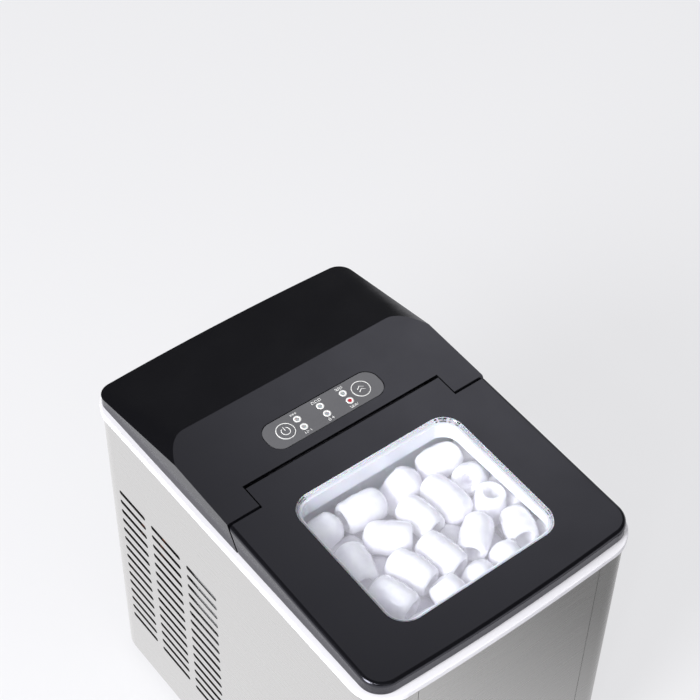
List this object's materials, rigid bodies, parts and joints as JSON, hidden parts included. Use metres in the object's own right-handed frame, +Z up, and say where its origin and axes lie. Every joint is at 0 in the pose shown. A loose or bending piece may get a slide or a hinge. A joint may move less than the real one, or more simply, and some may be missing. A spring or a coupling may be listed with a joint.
{
  "type": "countertop ice maker",
  "caption": "Countertop bullet-ice maker with a steel body, a sloping black console and a hinged lid with a clear window over a lift-out ice basket.",
  "frame": {"origin": "on the resting surface, below the middle of the bezel", "axes": "+X to the right seen from the front, the front faces -Y, +Z up"},
  "size_m": [0.2411, 0.348, 0.327],
  "materials": {
    "stainless": "brushed stainless steel",
    "rear_steel": "zinc-coated sheet",
    "bezel_silver": "pale silver lacquered ABS",
    "console_black": "gloss black ABS",
    "panel_grey": "grey printed film",
    "lens_clear": "frosted lens",
    "lens_red": "lit red lens",
    "liner_white": "white polystyrene",
    "window_clear": "clear polycarbonate",
    "rubber_black": "moulded rubber",
    "hose_clear": "silicone hose",
    "steel": "plated steel",
    "pan_steel": "galvanised sheet",
    "foam_white": "moulded foam",
    "copper": "drawn copper",
    "tinned": "tin-plated copper",
    "fin_alu": "rolled aluminium",
    "black_paint": "black enamel",
    "machine_plastic": "moulded nylon",
    "board_green": "circuit board"
  },
  "bodies": {
    "housing": {"base_pan": "pan_steel", "feet": "rubber_black", "foot_screws": "steel", "left_side_panel": "stainless", "right_side_panel": "stainless", "front_panel": "stainless", "rear_panel": "rear_steel", "panel_screws": "steel", "cord_gland": "rubber_black", "top_bezel": "bezel_silver", "console_cover": "console_black", "control_panel": "panel_grey", "lamp_lenses": "lens_clear", "full_lamp_lens": "lens_red", "lamp_bodies": "lens_clear", "control_board": "board_green", "board_screws": "steel", "push_switches": "machine_plastic", "inner_liner": "liner_white", "liner_insulation": "foam_white", "splash_baffle": "liner_white", "ice_chute": "liner_white", "evaporator": "tinned", "freezing_fingers": "tinned", "evaporator_saddles": "machine_plastic", "tray_motor": "steel", "water_pump": "machine_plastic", "pump_hose": "hose_clear", "level_probe": "machine_plastic", "ice_sensors": "machine_plastic", "drain_port": "liner_white", "compressor": "black_paint", "compressor_grommets": "rubber_black", "compressor_bolts": "steel", "terminal_cover": "machine_plastic", "condenser_fins": "fin_alu", "condenser_frame": "pan_steel", "condenser_tubes": "copper", "fan_shroud": "machine_plastic", "fan_motor": "black_paint", "filter_drier": "copper", "hot_gas_valve": "tinned", "refrigerant_pipes": "copper", "power_board": "board_green", "board_standoffs": "machine_plastic"},
    "lid": {"lid_shell": "console_black", "lid_window": "window_clear", "lid_inner_frame": "liner_white", "lid_bumpers": "rubber_black", "lid_screws": "steel", "hinge_pins": "steel"},
    "basket": {"ice_basket": "liner_white"},
    "power_key": {"power_button": "panel_grey"},
    "select_key": {"select_button": "panel_grey"},
    "fan": {"fan_blade": "machine_plastic", "fan_shaft": "steel"},
    "tray": {"water_tray": "liner_white", "tray_shafts": "steel"},
    "plug": {"drain_plug": "rubber_black"}
  },
  "joints": [
    {"name": "lid_hinge", "type": "hinge", "parent": "housing", "child": "lid", "pos_m": [0, 0.0075, 0.31693], "axis": [-1, 0, 0], "range_deg": [0, 100]},
    {"name": "basket_lift", "type": "slide", "parent": "housing", "child": "basket", "axis": [0, 0, 1], "range_m": [0, 0.063]},
    {"name": "power_key_press", "type": "slide", "parent": "housing", "child": "power_key", "axis": [0, 0.0546, -0.9985], "range_m": [0, 0.0008], "stiffness_N_per_m": 1500},
    {"name": "select_key_press", "type": "slide", "parent": "housing", "child": "select_key", "axis": [0, 0.0546, -0.9985], "range_m": [0, 0.0008], "stiffness_N_per_m": 1500},
    {"name": "fan_spin", "type": "hinge", "parent": "housing", "child": "fan", "pos_m": [-0.07, 0.088, 0.095], "axis": [1, 0, 0], "continuous": true},
    {"name": "tray_tilt", "type": "hinge", "parent": "housing", "child": "tray", "pos_m": [0, 0.032, 0.27], "axis": [1, 0, 0], "range_deg": [0, 35]},
    {"name": "drain_plug_pull", "type": "slide", "parent": "housing", "child": "plug", "axis": [1, 0, 0], "range_m": [0, 0.02]}
  ],
  "couplings": [
    {"joint": "basket_lift", "follows": "lid_hinge", "m_per_rad": 0.036}
  ]
}
